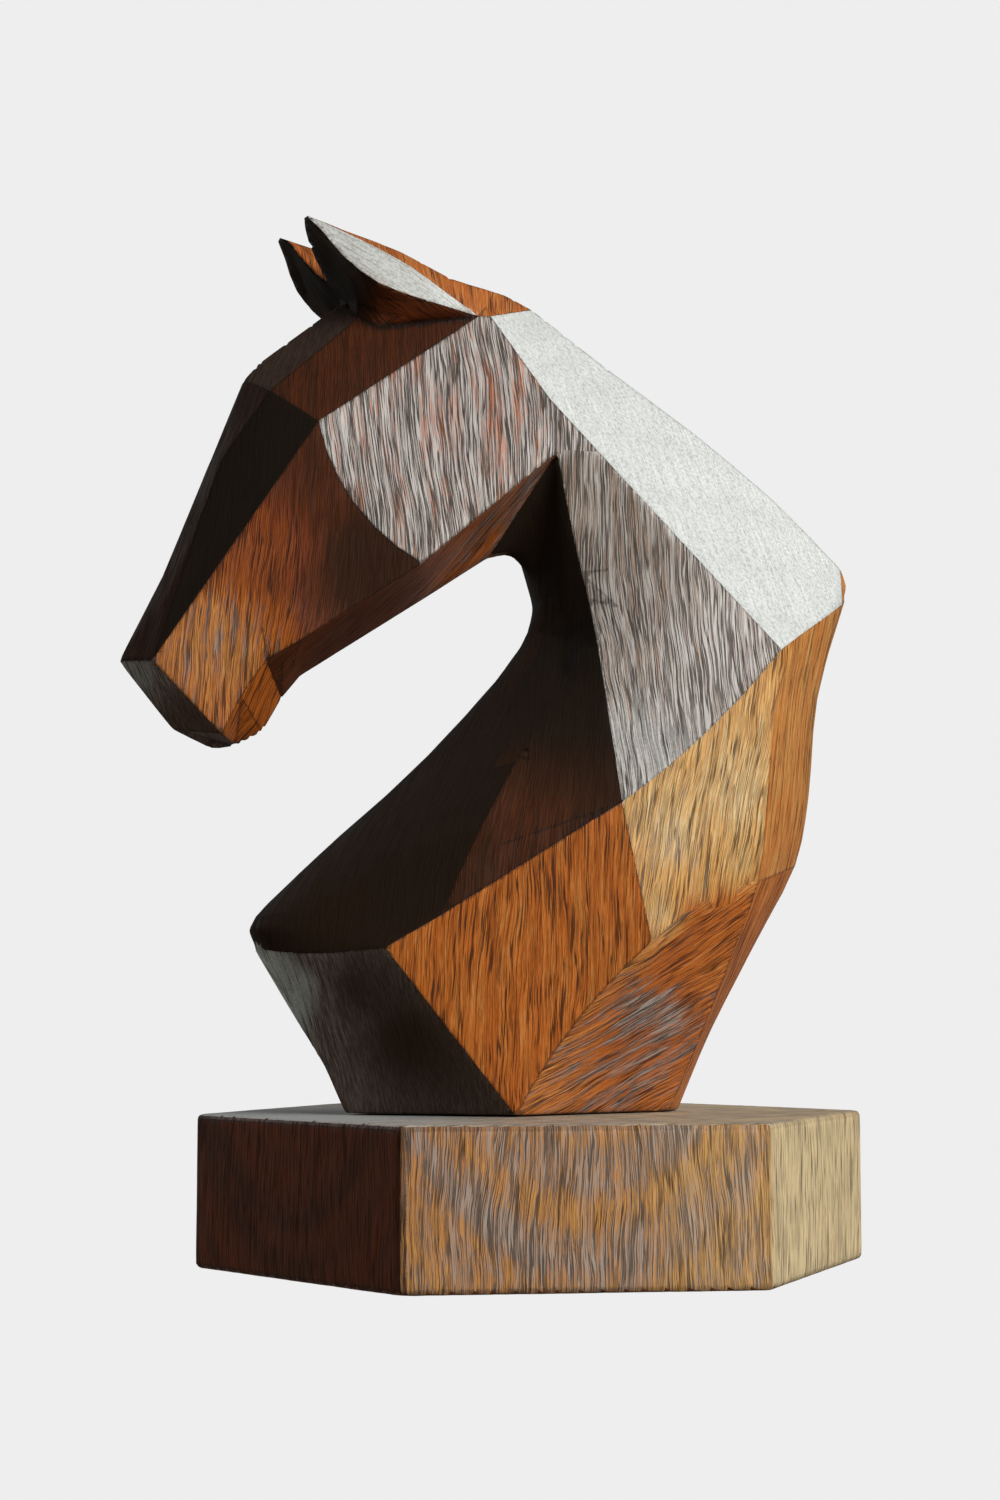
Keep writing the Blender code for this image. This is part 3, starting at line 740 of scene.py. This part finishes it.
# Wear and old dirt: the amounts of wear, and the distances from an edge, are in millimetres
WORN_AWAY = (0.03, 0.25)
WORN_WOOD = "c08a58"
WORN_PALE = 0.6
HOLLOW_FILLED = (0.0, 0.12)
HOLLOW_DIRT = "160d08"
HOLLOW_DARK = 0.8
SEAM_WIDE = (0.5, 0.15)
SEAM_RAGGED = 1.2
SEAM_DIRT = "1d130c"
SEAM_DARK = 0.55
SEAM_WHITE_SHEEN = 0.45                # how much fainter it is in painted white reflection
SEAM_CLEAN = (0.6, 0.8)           # on stain and painted light as pale as this it is fainter too
SEAM_PALE = 0.7


def worn_and_soiled(finish, wood, colour):
    """Edges rubbed pale, and dirt in the hollows and along the seams."""
    worn = finish.kept("worn").fade(*WORN_AWAY)
    colour = finish.blend(worn * wood.stain_and_shade * wood.fibres * WORN_PALE, colour, WORN_WOOD)
    hollow = finish.kept("hollow").fade(*HOLLOW_FILLED)
    colour = finish.blend(hollow * HOLLOW_DARK, colour, HOLLOW_DIRT)
    seam = (finish.kept("inland") + wood.pebbles.swing(SEAM_RAGGED)).fade(*SEAM_WIDE)
    seam = seam * (SEAM_DARK - wood.chalky * SEAM_WHITE_SHEEN) * (1.0 - wood.stain_and_shade.fade(*SEAM_CLEAN) * SEAM_PALE)
    return finish.blend(seam, colour, SEAM_DIRT)


# The varnish, and the relief of the grain under it
GLOSSY = (0.1, 0.6)               # dark stain and painted shade are duller than pale stain and painted light
ROUGH_DULL = 0.75
ROUGH_GLOSS = 0.33                # how much smoother the glossy stain is
ROUGH_GROOVE = 0.2
ROUGH_FLAMES = 0.2
SHINE = 0.15
COAT = 0.4
COAT_ROUGH = 0.3
COAT_BENDS_LIGHT = 1.5
RELIEF = 0.2 * MM
RELIEF_LINES = 0.5
RELIEF_FIBRES = 0.3
RELIEF_DARK = 0.2                 # how much relief there is on the darkest stain and painted shade
RELIEF_FILLED = 0.85              # how much of it the painted white reflection smooths over
RELIEF_PEBBLES = 0.25


def stained_wood(name, curve=0.0):
    """Open-grained hardwood, stained reddish brown under satin varnish. Its stain holds painted shade and
    light, and some facets have painted sheen, highlights and white reflection, drawn as lime in the grain.
    """
    material = bpy.data.materials.new(name)
    material.use_nodes = True
    finish = Finish(material.node_tree)
    wood = open_grain(finish, curve)
    # the painted white reflection, where the painted sheen is strongest
    wood.chalky = wood.painted_sheen.fade(*WHITE_SHEEN_FROM)
    colour = worn_and_soiled(finish, wood, painted_sheen_over(finish, wood, stain_and_shade_colour(finish, wood)))

    glossy = wood.stain_and_shade.fade(*GLOSSY)
    rough = ROUGH_DULL - glossy * ROUGH_GLOSS + wood.groove * ROUGH_GROOVE + wood.flames.swing(ROUGH_FLAMES)
    unfilled = 1.0 - wood.chalky * RELIEF_FILLED
    relief = ((wood.ridge - wood.groove) * RELIEF_LINES + wood.fibres * RELIEF_FIBRES) * unfilled
    height = relief * (RELIEF_DARK + wood.stain_and_shade) + wood.pebbles * wood.chalky * RELIEF_PEBBLES
    bump = finish.add("ShaderNodeBump", {}, {"Strength": 1.0, "Distance": RELIEF, "Height": height}, "Normal")
    values = {"Base Color": colour, "Roughness": rough, "Normal": bump, "Specular IOR Level": SHINE,
              "Coat Weight": (1.0 - wood.groove) * glossy * COAT, "Coat Roughness": COAT_ROUGH,
              "Coat IOR": COAT_BENDS_LIGHT}
    shader = finish.add("ShaderNodeBsdfPrincipled", {}, values, "BSDF")
    finish.add("ShaderNodeOutputMaterial", {}, {"Surface": shader})
    return material


def dress(piece, node, material):
    """Gives a piece its wood, and puts it in the place of the CAD node that it was carved from."""
    piece.data.materials.append(material)
    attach(piece, "root")
    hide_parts(node)


def pale_finish(tree, glow, seen_by_wood, output):
    """Pale for the camera, and only as bright as a dim studio for the wood. The glow is a kind of node."""
    finish = Finish(tree)
    camera = finish.add("ShaderNodeLightPath", {}, {}, "Is Camera Ray")
    seen = finish.add(glow, {}, {"Color": finish.opaque(PALE), "Strength": 1.0})
    unseen = finish.add(glow, {}, {"Color": (*seen_by_wood, 1.0), "Strength": 1.0})
    mixed = finish.add("ShaderNodeMixShader", {}, {0: camera, 1: unseen, 2: seen})
    finish.add(output, {}, {"Surface": mixed})


def make_studio():
    """A pale floor and pale surroundings."""
    scene = bpy.context.scene
    scene.world = bpy.data.worlds.new("studio")
    scene.world.use_nodes = True
    pale_finish(scene.world.node_tree, "ShaderNodeBackground", DIM_ROOM, "ShaderNodeOutputWorld")
    bpy.ops.mesh.primitive_plane_add(size=FLOOR_WIDE, location=(0, 0, FLOOR_LEVEL))
    floor = bpy.context.object
    floor.name = "studio_floor"
    material = bpy.data.materials.new("pale_floor")
    material.use_nodes = True
    pale_finish(material.node_tree, "ShaderNodeEmission", DIM_FLOOR, "ShaderNodeOutputMaterial")
    floor.data.materials.append(material)
    scene.view_settings.view_transform = "Standard"


def softbox(name, towards, size, strength):
    """A square light that faces the horse from a direction in the model's frame."""
    light = bpy.data.lights.new(name, "AREA")
    light.shape = "SQUARE"
    light.size = size
    light.energy = strength
    lamp = bpy.data.objects.new(name, light)
    bpy.context.scene.collection.objects.link(lamp)
    direction = Vector(towards).normalized()
    lamp.location = LIGHT_AIM + direction * LIGHT_AWAY
    lamp.rotation_euler = direction.to_track_quat("Z", "Y").to_euler()


def make_camera():
    """The photograph's viewpoint and lens."""
    lens = bpy.data.cameras.new("camera")
    lens.sensor_fit = "VERTICAL"
    lens.sensor_height = SENSOR
    lens.lens = FOCAL_PIXELS * SENSOR / FRAME_TALL
    lens.clip_end = SEEN_TO
    camera = bpy.data.objects.new("camera", lens)
    bpy.context.scene.collection.objects.link(camera)
    camera.location = CAMERA_PLACE
    camera.rotation_euler = Euler((pi / 2 + CAMERA_RISE, 0.0, CAMERA_TURN))
    bpy.context.scene.camera = camera


make_camera()
make_studio()
for title, light in LIGHTS.items():
    softbox(title, *light)
horse = carved("carved_horse", "horse_bust", mirrored(HORSE_FACETS))
block = carved("plinth_block", "plinth", PLINTH_FACETS, PLINTH_STEP, PLINTH_NARROW, PLINTH_TOOL_MARK)
dress(horse, "horse_bust", stained_wood("horse_wood"))
dress(block, "plinth", stained_wood("plinth_wood", PLINTH_CURVE))
